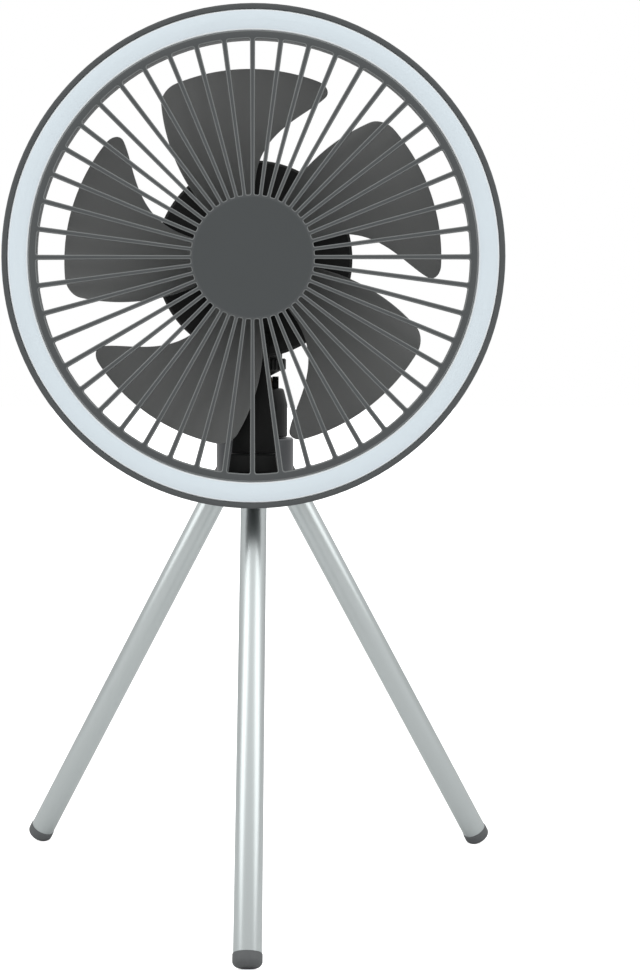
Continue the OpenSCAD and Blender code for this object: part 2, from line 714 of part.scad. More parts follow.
module led_chips() color("khaki") head_frame() for (i = [0:chip_count - 1])
    rotate([0, 0, (i + 0.5) * 360 / chip_count])
        translate([led_mid_r - 1.4, -1.75, -led_board_d + board_t]) cube([2.8, 3.5, chip_t]);

lens_crown = 0.5;

module light_lens() color([0.86, 0.89, 0.91]) head_frame() rotate_extrude() polygon([
    [lens_r_in + slide_gap, -lens_seat], [lens_r_out - slide_gap, -lens_seat],
    [lens_r_out - slide_gap, -lens_seat + lens_t - 0.4],
    [lens_r_out - slide_gap - 0.5, -lens_seat + lens_t],
    [(lens_r_in + lens_r_out) / 2 + 2, -lens_seat + lens_t + lens_crown - 0.1],
    [(lens_r_in + lens_r_out) / 2, -lens_seat + lens_t + lens_crown],
    [(lens_r_in + lens_r_out) / 2 - 2, -lens_seat + lens_t + lens_crown - 0.1],
    [lens_r_in + slide_gap + 0.5, -lens_seat + lens_t],
    [lens_r_in + slide_gap, -lens_seat + lens_t - 0.4]]);

// The rim starts just outside the slots' ends
rim_r_in = grille_r_in + 0.1;

// One slot between two ribs, as an outline with blended corners
function rib_point(r, w, side) = let(
        half = 180 / rib_count, s = sqrt(r * r - w * w / 4))
    [s * cos(half) + w / 2 * sin(half), side * (s * sin(half) - w / 2 * cos(half))];

function slot_outline() = let(
        r0 = disc_r, r1 = grille_r_in,
        a = rib_point(r0, rib_root_w, -1), b = rib_point(r1, rib_tip_w, -1),
        c = rib_point(r1, rib_tip_w, 1), d = rib_point(r0, rib_root_w, 1))
    concat(blend(d, a, b, 0.9), blend(a, b, [r1, 0], 1.4), [[r1, 0]],
        blend([r1, 0], c, d, 1.4), blend(c, d, a, 0.9));

module front_grille() color([0.33, 0.35, 0.35]) head_frame() union() {
    translate([0, 0, -grille_t]) linear_extrude(grille_t) difference() {
        circle(r = grille_r_in + 0.2);
        for (i = [0:rib_count - 1]) rotate((i + 0.5) * 360 / rib_count) polygon(slot_outline());
    }
    rotate_extrude() polygon([
        [rim_r_in, -rim_t], [rim_r_in, 0], [lens_r_in - 0.3, 0], [lens_r_in, -0.3],
        [lens_r_in, -lens_seat], [lens_r_in + seat_w, -lens_seat],
        [lens_r_in + seat_w, -lens_seat - ledge_t], [lens_r_in, -lens_seat - ledge_t],
        [lens_r_in, -skirt_end], [ring_in_r + ring_wall + slide_gap, -skirt_end],
        [ring_in_r + ring_wall + slide_gap, -rim_t]]);
}

// ---------- Fan rotor ----------

blade_rows = 13;
blade_cols = 15;
blade_root_r = hub_r - 1;
tip_blend = 6;

function smooth(s) = let(t = max(0, min(1, s))) 3 * t * t - 2 * t * t * t;

function chord_u(j) = (1 - cos(180 * j / (blade_cols - 1))) / 2;
function edge_drop(u) = let(k = 0.09)
    u < k ? tip_blend * (1 - sqrt(1 - pow((k - u) / k, 2)))
    : u > 1 - k ? tip_blend * (1 - sqrt(1 - pow((u - 1 + k) / k, 2))) : 0;

function blade_point(i, j, side) = let(
        s = i / (blade_rows - 1), u = chord_u(j),
        r = blade_root_r + (blade_r - edge_drop(u) - blade_root_r) * s,
        share = max(0, (r - sweep_r) / (blade_r - sweep_r)),
        lead = blade_phase + lead_sweep * (1 - pow(smooth(share), 1.35)),
        trail = blade_phase + lead_sweep + blade_root_angle - trail_sweep * pow(share, 1.3),
        a = lead + (trail - lead) * u,
        t = edge_t + (blade_t - edge_t) * sqrt(sin(180 * u)),
        span = blade_depth - blade_t - 0.4,
        z = -blade_back + blade_t / 2 + 0.2 + span * (0.55 * u + 0.45 * u * u))
    [r * cos(a), r * sin(a), z + side * t / 2];

module blade() {
    n = blade_rows * blade_cols;
    front = [for (i = [0:blade_rows - 1], j = [0:blade_cols - 1]) blade_point(i, j, 1)];
    back = [for (i = [0:blade_rows - 1], j = [0:blade_cols - 1]) blade_point(i, j, -1)];
    row_end = (blade_rows - 1) * blade_cols;
    polyhedron(
        points = concat(front, back),
        faces = concat(
            grid_faces(blade_rows, blade_cols, 0, false),
            grid_faces(blade_rows, blade_cols, n, true),
            [for (j = [0:blade_cols - 2]) each [[j, n + j, j + 1], [j + 1, n + j, n + j + 1]]],
            [for (j = [0:blade_cols - 2]) let(a = row_end + j)
                each [[a, a + 1, n + a], [a + 1, n + a + 1, n + a]]],
            [for (i = [0:blade_rows - 2]) let(a = i * blade_cols, b = a + blade_cols)
                each [[a, b, n + a], [b, n + b, n + a]]],
            [for (i = [0:blade_rows - 2]) let(a = i * blade_cols + blade_cols - 1, b = a + blade_cols)
                each [[a, n + a, b], [b, n + a, n + b]]]));
}

module fan_blades() color([0.35, 0.36, 0.36]) head_frame() union() {
    rotate_extrude() polygon([
        [shaft_d / 2, -rotor_z], [hub_r - 2, -rotor_z], [hub_r - 0.6, -rotor_z - 0.6],
        [hub_r, -rotor_z - 2], [hub_r, -rotor_z - cup_depth], [hub_r - cup_wall, -rotor_z - cup_depth],
        [hub_r - cup_wall, -rotor_z - 2], [shaft_d / 2 + 3, -rotor_z - 2],
        [shaft_d / 2 + 3, -rotor_z - 5.4], [shaft_d / 2, -rotor_z - 5.4]]);
    for (i = [0:blade_count - 1]) rotate([0, 0, i * 360 / blade_count]) blade();
}

module rotor_yoke() color("gray") head_frame()
    tube(hub_r - cup_wall, hub_r - cup_wall - yoke_t, -rotor_z - cup_depth + 0.6, -rotor_z - 2);

module rotor_magnet() color([0.25, 0.25, 0.25]) head_frame()
    tube(magnet_r + magnet_t, magnet_r, -rotor_z - cup_depth + 1.2, -rotor_z - 3);

clip_z = housing_z + housing_wall + 0.2;
shaft_end = clip_z + 1.2;

module rotor_shaft() color("silver") head_frame() rotate_extrude() polygon([
    [0, -rotor_z], [shaft_d / 2, -rotor_z], [shaft_d / 2, -clip_z],
    [shaft_d / 2 - 0.4, -clip_z], [shaft_d / 2 - 0.4, -clip_z - 0.5],
    [shaft_d / 2, -clip_z - 0.5], [shaft_d / 2, -shaft_end], [0, -shaft_end]]);

module shaft_clip() color("gray") head_frame()
    tube(shaft_d / 2 + 1.3, shaft_d / 2 - 0.4, -clip_z - 0.5, -clip_z);

// ---------- Motor ----------

motor_board_z = rotor_z + cup_depth + 0.2;
board_post_r = 15;
rear_bearing_z = clip_z - 0.2 - bearing_w;

module bearing(z_front) color("silver") head_frame()
    tube(bearing_d / 2, shaft_d / 2 + running_gap, -z_front - bearing_w, -z_front);

module front_bearing() bearing(tube_front + 0.4);
module rear_bearing() bearing(rear_bearing_z);

stator_z = rotor_z + 4.6;
stator_h = motor_board_z - stator_z - 3;
tooth_w = 3.2;
crown_t = 1.6;
yoke_in_r = 9.4;
crown_half = tan(150 / tooth_count);

module stator_profile() difference() {
    union() {
        circle(r = yoke_in_r);
        for (i = [0:tooth_count - 1]) rotate(i * 360 / tooth_count) {
            translate([yoke_in_r - 1, -tooth_w / 2]) square([stator_r - yoke_in_r, tooth_w]);
            intersection() {
                difference() {
                    circle(r = stator_r);
                    circle(r = stator_r - crown_t);
                }
                polygon([[0, 0], [big, -big * crown_half], [big, big * crown_half]]);
            }
        }
    }
    circle(r = tube_out);
}

module stator_core() color("slategray") head_frame() translate([0, 0, -stator_z - stator_h])
    linear_extrude(stator_h) stator_profile();

coil_t = 1.3;
coil_in = yoke_in_r + 1.2;
coil_out = stator_r - crown_t - 0.3;

module stator_coils() color("peru") head_frame() for (i = [0:tooth_count - 1])
    rotate([0, 0, i * 360 / tooth_count]) difference() {
        slab(coil_in, coil_out, -tooth_w / 2 - coil_t, tooth_w / 2 + coil_t,
            -stator_z - stator_h - coil_t, -stator_z + coil_t);
        slab(coil_in - 1, coil_out + 1, -tooth_w / 2, tooth_w / 2, -stator_z - stator_h, -stator_z);
    }

winding_room = 8;

module motor_board() color("darkgreen") head_frame()
    tube(hub_r - winding_room, tube_out, -motor_board_z - board_t, -motor_board_z);

// ---------- Battery and electronics ----------

cradle_x = cell_len / 2 + 1.5;
cradle_y = cell_pitch + cell_r + 1.2;
cradle_front = housing_z + housing_wall + 2.6;
cradle_post = 6;

module battery_cells() color("mediumseagreen") head_frame() for (i = [-1:1])
    translate([-cell_len / 2, i * cell_pitch, -cell_z]) rotate([0, 90, 0]) union() {
        cylinder(h = cell_len - 1, r = cell_r);
        cylinder(h = cell_len, r = 3);
    }

tab_w = 6;
tab_t = 0.3;

module battery_tabs() color("lightgray") head_frame() for (side = [-1, 1])
    translate([side * (cell_len + tab_t) / 2 - tab_t / 2, -cell_pitch - tab_w / 2, -cell_z - tab_w / 2])
        cube([tab_t, 2 * cell_pitch + tab_w, tab_w]);

module battery_cradle() color([0.85, 0.85, 0.8]) head_frame() difference() {
    union() {
        slab(-cradle_x, cradle_x, -cradle_y, cradle_y, -cell_z + 1.5, -cradle_front);
        for (x = [-1, 1], y = [-1, 1])
            translate([x * (cradle_x - cradle_post), y * (cradle_y - cradle_post), 0])
                rod(3, -cradle_front - 1, -housing_z - housing_wall);
    }
    for (i = [-1:1]) translate([-cell_len / 2 - 0.4, i * cell_pitch, -cell_z]) rotate([0, 90, 0])
        cylinder(h = cell_len + 0.8, r = cell_r + 0.15);
    both_sides() slab(cell_len / 2 - 0.1, cell_len / 2 + tab_t + 0.1,
        -cell_pitch - tab_w / 2 - 0.2, cell_pitch + tab_w / 2 + 0.2,
        -cell_z - tab_w / 2 - 0.2, -cell_z + tab_w / 2 + 0.2);
    rod(tube_out + 2, -cell_z, -housing_z);
}

board_x = 15.6;
board_y0 = 20;
board_y1 = housing_r - housing_wall - 4.4;
board_posts = [[-13, board_y0 + 2.6, 0], [13, board_y0 + 2.6, 0], [0, board_y1 - 1.9, 0]];
peg_r = 0.8;
switch_h = back_in - board_back - 1.4 - button_travel;

module control_board() color("darkgreen") head_frame() difference() {
    slab(-board_x, board_x, board_y0, board_y1, -board_back, -board_front);
    for (at = board_posts) translate(at) rod(peg_r, -board_back - 1, -board_front + 1);
}

// Two switches, a charger chip, an inductor and the charge lights
module board_parts() color([0.2, 0.2, 0.22]) head_frame() {
    for (x = [-button_x, button_x]) translate([x, panel_y, 0]) union() {
        slab(-3, 3, -3, 3, -board_back - switch_h + 0.8, -board_back);
        rod(1.6, -board_back - switch_h, -board_back - 0.5);
    }
    slab(-3.5, 3.5, board_y0 + 0.8, board_y0 + 5.2, -board_back - 1, -board_back);
    slab(7.5, 12, board_y0 + 5.5, board_y0 + 10, -board_back - 1.8, -board_back);
    for (x = [-4.5, -1.5, 1.5, 4.5])
        slab(x - 0.8, x + 0.8, lens_y - 0.5, lens_y + 0.5, -board_back - 0.7, -board_back);
}

module usb_socket() color("silver") head_frame() translate([0, panel_y, 0]) union() {
    difference() {
        port_shape(port_w - 0.6, port_h - 0.6, -housing_back + 0.6, -board_back);
        port_shape(port_w - 1.2, port_h - 1.2, -housing_back - 1, -board_back - 1.4);
    }
    slab(-3.3, 3.3, -0.35, 0.35, -housing_back + 1.8, -board_back - 1);
}

module panel_button(x) color([0.2, 0.2, 0.2]) head_frame() translate([x, panel_y, 0]) union() {
    rod(button_d / 2, -housing_back - 0.9, -back_in + 0.4);
    rod(button_d / 2 + 0.9, -back_in + slide_gap, -back_in + 1.1);
    rod(1.4, -back_in + 0.5, -back_in + 1.3);
}

module power_button() panel_button(-button_x);
module light_button() panel_button(button_x);

charge_w = 12;
charge_h = 2.2;
lens_y = 27;

module charge_lens() color([0.8, 0.85, 0.8]) head_frame() translate([0, lens_y, 0]) union() {
    port_shape(charge_w - 2 * slide_gap, charge_h - 2 * slide_gap, -housing_back - 0.1, -back_in + 0.5);
    slab(-charge_w / 2 - 1, charge_w / 2 + 1, -charge_h / 2 - 0.8, charge_h / 2 + 0.8,
        -back_in + slide_gap, -back_in + 0.9);
}

// One side of the bail: its pin, the bend, the straight side and the lower bend
module bail_side() {
    translate([lug_in - 0.8, 0, 0]) rotate([0, 90, 0])
        cylinder(h = bail_w / 2 - bail_turn - lug_in + 0.8, r = bail_wire / 2);
    translate([bail_w / 2 - bail_turn, -bail_turn, 0]) rotate_extrude(angle = 90)
        translate([bail_turn, 0]) circle(r = bail_wire / 2);
    translate([bail_w / 2, 0, 0]) rotate([90, 0, 0]) rod(bail_wire / 2, bail_turn, bail_drop - bail_turn);
    translate([bail_w / 2 - bail_turn, -bail_drop + bail_turn, 0]) rotate([0, 0, -90])
        rotate_extrude(angle = 90) translate([bail_turn, 0]) circle(r = bail_wire / 2);
}

module hanging_bail() color("silver") head_frame() translate([0, pivot_y, -pivot_z]) union() {
    both_sides() bail_side();
    translate([-bail_w / 2 + bail_turn, -bail_drop, 0]) rotate([0, 90, 0])
        cylinder(h = bail_w - 2 * bail_turn, r = bail_wire / 2);
}

hub();
leg_pins();
swivel_bolt();
swivel_washers();
swivel_nut();
leg_tube(-90);  // leg_front_tube
leg_knuckle(-90);  // leg_front_knuckle
leg_foot(-90);  // leg_front_foot
leg_tube(30);  // leg_right_tube
leg_knuckle(30);  // leg_right_knuckle
leg_foot(30);  // leg_right_foot
leg_tube(150);  // leg_left_tube
leg_knuckle(150);  // leg_left_knuckle
leg_foot(150);  // leg_left_foot
neck_barrel();
tilt_pin();
friction_washers();
tilt_knuckle();
lock_wheel();
stud_insert();
housing_front();
housing_rear();
housing_screws();
rear_arm();
arm_cover();
arm_screws();
led_lead();
ring_housing();
led_board();
led_chips();
board_screws();
light_lens();
front_grille();
fan_blades();
rotor_yoke();
rotor_magnet();
rotor_shaft();
shaft_clip();
front_bearing();
rear_bearing();
stator_core();
stator_coils();
motor_board();
battery_cells();
battery_tabs();
battery_cradle();
control_board();
board_parts();
usb_socket();
power_button();
light_button();
charge_lens();
hanging_bail();
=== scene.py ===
import math
import bpy
from mathutils import Matrix, Vector


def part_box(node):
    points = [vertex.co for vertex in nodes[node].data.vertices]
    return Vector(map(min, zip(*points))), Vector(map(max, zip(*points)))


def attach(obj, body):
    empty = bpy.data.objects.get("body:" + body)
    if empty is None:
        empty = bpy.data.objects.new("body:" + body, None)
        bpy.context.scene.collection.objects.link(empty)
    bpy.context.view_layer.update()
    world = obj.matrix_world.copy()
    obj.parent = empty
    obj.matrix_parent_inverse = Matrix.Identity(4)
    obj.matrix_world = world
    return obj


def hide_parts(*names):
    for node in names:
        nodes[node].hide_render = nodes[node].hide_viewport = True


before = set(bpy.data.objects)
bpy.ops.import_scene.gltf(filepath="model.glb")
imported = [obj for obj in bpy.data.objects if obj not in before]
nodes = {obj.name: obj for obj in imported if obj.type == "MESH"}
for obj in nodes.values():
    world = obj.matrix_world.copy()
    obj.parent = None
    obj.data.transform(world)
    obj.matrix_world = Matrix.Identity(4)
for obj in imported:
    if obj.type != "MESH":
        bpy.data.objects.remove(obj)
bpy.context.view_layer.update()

# ---- Studio ----
# A white light tent that glows more strongly towards its top, over a glowing
# floor, with a tall softbox at each side. The camera sees tent and floor as plain
# white, and stands level with the neck.
look_down, look_left = 2.15, 1.37
camera_data = bpy.data.cameras.new("camera")
camera_data.lens = 67.14
camera_data.sensor_width = 36
camera_data.shift_x = 0.0670
camera_data.shift_y = -0.0736
camera = bpy.data.objects.new("camera", camera_data)
camera.location = (0.0218, -0.87651, 0.27047)
camera.rotation_euler = (math.radians(90 - look_down), 0, math.radians(look_left))
bpy.context.scene.collection.objects.link(camera)
bpy.context.scene.camera = camera
bpy.context.scene.view_settings.view_transform = "Standard"


def deselect():
    bpy.ops.object.select_all(action="DESELECT")


deselect()
bpy.ops.mesh.primitive_plane_add(size=14, location=(0, 0, 0))
floor = bpy.context.object
floor.name = "floor"
floor_paint = bpy.data.materials.new("glowing_white_floor")
floor_paint.use_nodes = True
floor_shader = floor_paint.node_tree.nodes["Principled BSDF"]
floor_shader.inputs["Base Color"].default_value = (0.9, 0.9, 0.9, 1)
floor_shader.inputs["Roughness"].default_value = 0.9
floor_shader.inputs["Emission Color"].default_value = (1, 1, 1, 1)
floor_shader.inputs["Emission Strength"].default_value = 0.72
floor_tree = floor_paint.node_tree
reflected = floor_tree.nodes.new("ShaderNodeBsdfDiffuse")
reflected.inputs["Color"].default_value = (0.72, 0.72, 0.72, 1)
floor_seen = floor_tree.nodes.new("ShaderNodeMixShader")
floor_rays = floor_tree.nodes.new("ShaderNodeLightPath")
floor_tree.links.new(floor_rays.outputs["Is Camera Ray"], floor_seen.inputs["Fac"])
floor_tree.links.new(reflected.outputs["BSDF"], floor_seen.inputs[1])
floor_tree.links.new(floor_shader.outputs["BSDF"], floor_seen.inputs[2])
floor_out = floor_tree.nodes["Material Output"]
floor_tree.links.new(floor_seen.outputs["Shader"], floor_out.inputs["Surface"])
floor.data.materials.append(floor_paint)

tent = bpy.data.worlds.new("light_tent")
bpy.context.scene.world = tent
tent.use_nodes = True
sky = tent.node_tree.nodes
joined = tent.node_tree.links.new
white = sky["Background"]
white.inputs["Color"].default_value = (1, 1, 1, 1)
walls = sky.new("ShaderNodeBackground")
walls.inputs["Color"].default_value = (1, 1, 1, 1)
height = sky.new("ShaderNodeSeparateXYZ")
joined(sky.new("ShaderNodeTexCoord").outputs["Generated"], height.inputs["Vector"])
brighter = sky.new("ShaderNodeMapRange")
brighter.inputs["From Min"].default_value = -0.1
brighter.inputs["From Max"].default_value = 0.9
brighter.inputs["To Min"].default_value = 0.58
brighter.inputs["To Max"].default_value = 1.08
joined(height.outputs["Z"], brighter.inputs["Value"])
joined(brighter.outputs["Result"], walls.inputs["Strength"])
seen = sky.new("ShaderNodeMixShader")
joined(sky.new("ShaderNodeLightPath").outputs["Is Camera Ray"], seen.inputs["Fac"])
joined(walls.outputs["Background"], seen.inputs[1])
joined(white.outputs["Background"], seen.inputs[2])
joined(seen.outputs["Shader"], sky["World Output"].inputs["Surface"])

aimed_at = Vector((0, 0, 0.2))
softbox_size = (0.9, 1.4)
for name, place, power in (("left_softbox", (-1.0, -0.42, 0.88), 5.0),
                           ("right_softbox", (1.0, -0.38, 0.88), 4.7)):
    aim = (aimed_at - Vector(place)).to_track_quat("-Z", "Y").to_euler()
    bpy.ops.object.light_add(type="AREA", location=place, rotation=aim)
    light = bpy.context.object
    light.name = name
    light.data.shape = "RECTANGLE"
    light.data.size, light.data.size_y = softbox_size
    light.data.energy = power

# ---- Foot caps and leg knuckles ----
# Hard grey caps pushed on the lower ends of the legs, and the moulded knuckles
# that hinge in the hub: glass-filled nylon with a fine spark-eroded grain.


def surface_group(name, inputs, wire):
    """A node group whose outputs, Color, Roughness and Normal, vary over the surface."""
    group = bpy.data.node_groups.new(name, "ShaderNodeTree")
    for label, kind, value in inputs:
        socket = group.interface.new_socket(label, in_out="INPUT", socket_type="NodeSocket" + kind)
        if value is not None:
            socket.default_value = value
    for label, kind in (("Color", "Color"), ("Roughness", "Float"), ("Normal", "Vector")):
        group.interface.new_socket(label, in_out="OUTPUT", socket_type="NodeSocket" + kind)
    entry, leave = group.nodes.new("NodeGroupInput"), group.nodes.new("NodeGroupOutput")

    def add(kind, links=(), **settings):
        made = group.nodes.new("ShaderNode" + kind)
        for key, value in settings.items():
            setattr(made, key, value)
        for socket, source in links:
            if isinstance(source, bpy.types.NodeSocket):
                group.links.new(source, made.inputs[socket])
            else:
                made.inputs[socket].default_value = source
        return made.outputs

    wire(add, entry.outputs, lambda socket, source: group.links.new(source, leave.inputs[socket]))
    return group


def wire_moulded(add, given, put):
    """Moulded plastic: a broad mottling of the colour, and a fine grain in gloss and normal."""
    place = add("TexCoord")["Object"]
    broad = add("TexNoise", [("Vector", place), ("Scale", 22.0), ("Detail", 3.0)])["Fac"]
    fine = add("TexNoise", [("Vector", place), ("Scale", given["Grain"]), ("Detail", 2.0)])["Fac"]
    swing = add("Math", [(0, broad), (1, 0.5)], operation="SUBTRACT")[0]
    swing = add("Math", [(0, swing), (1, given["Mottle"])], operation="MULTIPLY")[0]
    swing = add("Math", [(0, swing), (1, 1.0)], operation="ADD")[0]
    put("Color", add("VectorMath", [(0, given["Colour"]), ("Scale", swing)], operation="SCALE")[0])
    dull = add("Math", [(0, fine), (1, 0.5)], operation="SUBTRACT")[0]
    dull = add("Math", [(0, dull), (1, given["Spread"])], operation="MULTIPLY")[0]
    put("Roughness", add("Math", [(0, dull), (1, given["Gloss"])], operation="ADD")[0])
    grain = add("Bump", [("Height", fine), ("Distance", given["Depth"]), ("Strength", 1.0)])
    put("Normal", grain["Normal"])


moulded_grain = surface_group("moulded_grain", [
    ("Colour", "Color", (0.1, 0.1, 0.1, 1)), ("Mottle", "Float", 0.1), ("Grain", "Float", 1800.0),
    ("Depth", "Float", 0.00002), ("Gloss", "Float", 0.5), ("Spread", "Float", 0.15)], wire_moulded)


def finish_of(name, group, values, place=None, **plain):
    """A material: what varies comes from the group, the rest is set on the shader itself."""
    material = bpy.data.materials.new(name)
    material.use_nodes = True
    tree = material.node_tree
    shader = tree.nodes["Principled BSDF"]
    surface = tree.nodes.new("ShaderNodeGroup")
    surface.node_tree = group
    for key, value in values.items():
        surface.inputs[key].default_value = value
    varied = (("Color", "Base Color"), ("Roughness", "Roughness"), ("Normal", "Normal"))
    for output, socket in varied:
        tree.links.new(surface.outputs[output], shader.inputs[socket])
    if place is not None:
        where = tree.nodes.new("ShaderNodeTexCoord")
        turn = tree.nodes.new("ShaderNodeMapping")
        turn.inputs["Rotation"].default_value = place.to_euler()
        tree.links.new(where.outputs["Object"], turn.inputs["Vector"])
        tree.links.new(turn.outputs["Vector"], surface.inputs["Place"])
    for key, value in plain.items():
        shader.inputs[key.replace("_", " ")].default_value = value
    return material


def smooth(piece, angle=35):
    """Shades a piece smooth, up to an angle."""
    deselect()
    bpy.context.view_layer.objects.active = piece
    piece.select_set(True)
    bpy.ops.object.shade_smooth_by_angle(angle=math.radians(angle))
    deselect()


def shade(piece, material, angle=35):
    """Gives a piece its material, and smooth shading up to an angle."""
    piece.data.materials.clear()
    piece.data.materials.append(material)
    smooth(piece, angle)


def eased(node, width, material, body, segments=2, angle=32, highlight_material=None):
    """A copy of a CAD node with its mesh merged and its sharp edges rounded over; given a highlight
    material, the rounding faces take it as a painted highlight.
    """
    piece = bpy.data.objects.new(node + "_eased", nodes[node].data.copy())
    bpy.context.scene.collection.objects.link(piece)
    deselect()
    bpy.context.view_layer.objects.active = piece
    piece.select_set(True)
    bpy.ops.object.mode_set(mode="EDIT")
    bpy.ops.mesh.select_all(action="SELECT")
    bpy.ops.mesh.remove_doubles(threshold=0.000002)
    bpy.ops.mesh.dissolve_limited(angle_limit=math.radians(0.5))
    bpy.ops.object.mode_set(mode="OBJECT")
    piece.data.materials.clear()
    piece.data.materials.append(material)
    edge = piece.modifiers.new("edge", "BEVEL")
    edge.width, edge.segments = width, segments
    edge.limit_method, edge.angle_limit = "ANGLE", math.radians(angle)
    # A lighter material on the rounding faces is a painted highlight along the edges.
    if highlight_material is not None:
        piece.data.materials.append(highlight_material)
        edge.material = 1
    bpy.ops.object.modifier_apply(modifier="edge")
    smooth(piece)
    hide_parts(node)
    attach(piece, body)
    return piece


leg_slant = 31
sides = (("front", -90), ("right", 30), ("left", 150))
cap_edge, thin_edge = 0.00025, 0.0001
foot_grey = finish_of("foot_grey_nylon", moulded_grain, {
    "Colour": (0.10, 0.105, 0.108, 1), "Mottle": 0.25, "Grain": 2600.0, "Depth": 0.00003,
    "Gloss": 0.55, "Spread": 0.2}, Specular_IOR_Level=0.35)
for side, _ in sides:
    for part in ("foot", "knuckle"):
        eased(f"leg_{side}_{part}", cap_edge, foot_grey, f"leg_{side}")

# ---- Leg tubes ----
# Three straight aluminium tubes, bead-blasted and anodised in a pale silver.
# The drawing lines of the tube still show faintly along its length.


def wire_drawn(add, given, put):
    """Drawn or turned metal: streaks along its Z in colour and gloss, and a fine blasted grain."""
    stretch = (700.0, 700.0, 5.0)
    stretched = add("VectorMath", [(0, given["Place"]), (1, stretch)], operation="MULTIPLY")[0]
    lines = add("TexNoise", [("Vector", stretched), ("Scale", 1.0), ("Detail", 2.0)])["Fac"]
    beads = add("TexNoise", [("Vector", given["Place"]), ("Scale", 2400.0), ("Detail", 1.0)])["Fac"]
    swing = add("Math", [(0, lines), (1, 0.5)], operation="SUBTRACT")[0]
    swing = add("Math", [(0, swing), (1, given["Streak"])], operation="MULTIPLY")[0]
    tone = add("Math", [(0, swing), (1, 1.0)], operation="ADD")[0]
    put("Color", add("VectorMath", [(0, given["Colour"]), ("Scale", tone)], operation="SCALE")[0])
    put("Roughness", add("Math", [(0, swing), (1, given["Gloss"])], operation="ADD")[0])
    grain = add("Bump", [("Height", beads), ("Distance", given["Depth"]), ("Strength", 1.0)])
    put("Normal", grain["Normal"])


drawn_metal = surface_group("drawn_metal", [
    ("Place", "Vector", None), ("Colour", "Color", (0.7, 0.7, 0.7, 1)), ("Streak", "Float", 0.1),
    ("Gloss", "Float", 0.3), ("Depth", "Float", 0.00001)], wire_drawn)

for side, azimuth in sides:
    along = Matrix.Rotation(math.radians(leg_slant), 3, "Y")
    along = along @ Matrix.Rotation(math.radians(-azimuth), 3, "Z")
    tube_silver = finish_of(f"anodised_tube_{side}", drawn_metal, {
        "Colour": (0.54, 0.58, 0.58, 1), "Streak": 0.03, "Gloss": 0.33, "Depth": 0.000006},
        place=along, Metallic=1.0)
    eased(f"leg_{side}_tube", thin_edge, tube_silver, f"leg_{side}")

# ---- Hub ----
# A turned and painted aluminium puck, slotted for the three leg knuckles and
# drilled for their steel pins; the neck turns on a bolt through its middle.
upright = Matrix.Identity(3)
hub_paint = finish_of("hub_grey_metal", drawn_metal, {
    "Colour": (0.085, 0.089, 0.093, 1), "Streak": 0.05, "Gloss": 0.34, "Depth": 0.000008},
    place=upright, Metallic=0.85)
body_edge, pin_edge = 0.0003, 0.00015
eased("hub", body_edge, hub_paint, "stand")
plain_steel = finish_of("plain_steel", drawn_metal, {
    "Colour": (0.55, 0.55, 0.54, 1), "Streak": 0.12, "Gloss": 0.3, "Depth": 0.000006},
    place=upright, Metallic=1.0)
for node in ("leg_pins", "swivel_bolt", "swivel_nut"):
    eased(node, pin_edge, plain_steel, "stand")
nylon_white = finish_of("nylon_white", moulded_grain, {
    "Colour": (0.72, 0.72, 0.68, 1), "Mottle": 0.1, "Grain": 1500.0, "Depth": 0.00001,
    "Gloss": 0.45, "Spread": 0.1})
shade(nodes["swivel_washers"], nylon_white)

# ---- Neck ----
# A black moulded barrel with a fork on top; the tilt knuckle is pinned between
# its ears with a fibre washer at each side, so the head stays where it is put.
satin_black = finish_of("satin_black_plastic", moulded_grain, {
    "Colour": (0.0062, 0.0068, 0.0066, 1), "Mottle": 0.3, "Grain": 2200.0, "Depth": 0.000025,
    "Gloss": 0.5, "Spread": 0.2}, Specular_IOR_Level=0.22)
# A lighter black for the rounded edges of the black mouldings: a painted highlight where light
# catches them.
black_painted_highlight = finish_of("black_plastic_painted_highlight", moulded_grain, {
    "Colour": (0.07, 0.074, 0.073, 1), "Mottle": 0.3, "Grain": 2200.0, "Depth": 0.000005,
    "Gloss": 0.4, "Spread": 0.1})
# The barrel's rounded edges carry the lighter black: a painted highlight.
eased("neck_barrel", body_edge, satin_black, "neck", highlight_material=black_painted_highlight)
eased("tilt_pin", pin_edge, plain_steel, "neck")
fibre_brown = finish_of("fibre_washer_brown", moulded_grain, {
    "Colour": (0.25, 0.15, 0.07, 1), "Mottle": 0.5, "Grain": 900.0, "Depth": 0.00002,
    "Gloss": 0.7, "Spread": 0.1})
shade(nodes["friction_washers"], fibre_brown)
eased("tilt_knuckle", body_edge, satin_black, "head")

# ---- Lock wheel ----
# A black hand wheel on the stud under the housing, moulded with upright flutes
# so that it can be turned with one finger.
small_edge = 0.0002
# The wheel's rounded edges carry the lighter black: a painted highlight.
eased("lock_wheel", small_edge, satin_black, "lock_wheel", highlight_material=black_painted_highlight)
brass_turned = finish_of("turned_brass", drawn_metal, {
    "Colour": (0.72, 0.5, 0.2, 1), "Streak": 0.15, "Gloss": 0.3, "Depth": 0.00001},
    place=upright, Metallic=1.0)
shade(nodes["stud_insert"], brass_turned)

# ---- Motor and battery housing ----
# Two black halves screwed together from the back. The front half carries the
# motor, the back half the charging board, its buttons and the cells.
# The housing halves' rounded edges carry the lighter black: a painted highlight.
for node in ("housing_front", "housing_rear"):
    eased(node, body_edge, satin_black, "head", highlight_material=black_painted_highlight)
eased("housing_screws", thin_edge, plain_steel, "head")

# ---- Arm and lead ----
# A black arm from the housing down to the back of the ring, hollow for the
# light's lead, which a snap-in cover hides.
for node in ("rear_arm", "arm_cover"):
    eased(node, body_edge, satin_black, "head")
eased("arm_screws", thin_edge, plain_steel, "head")
lead_black = finish_of("lead_black_rubber", moulded_grain, {
    "Colour": (0.012, 0.012, 0.012, 1), "Mottle": 0.2, "Grain": 1500.0, "Depth": 0.00001,
    "Gloss": 0.6, "Spread": 0.1})
shade(nodes["led_lead"], lead_black)

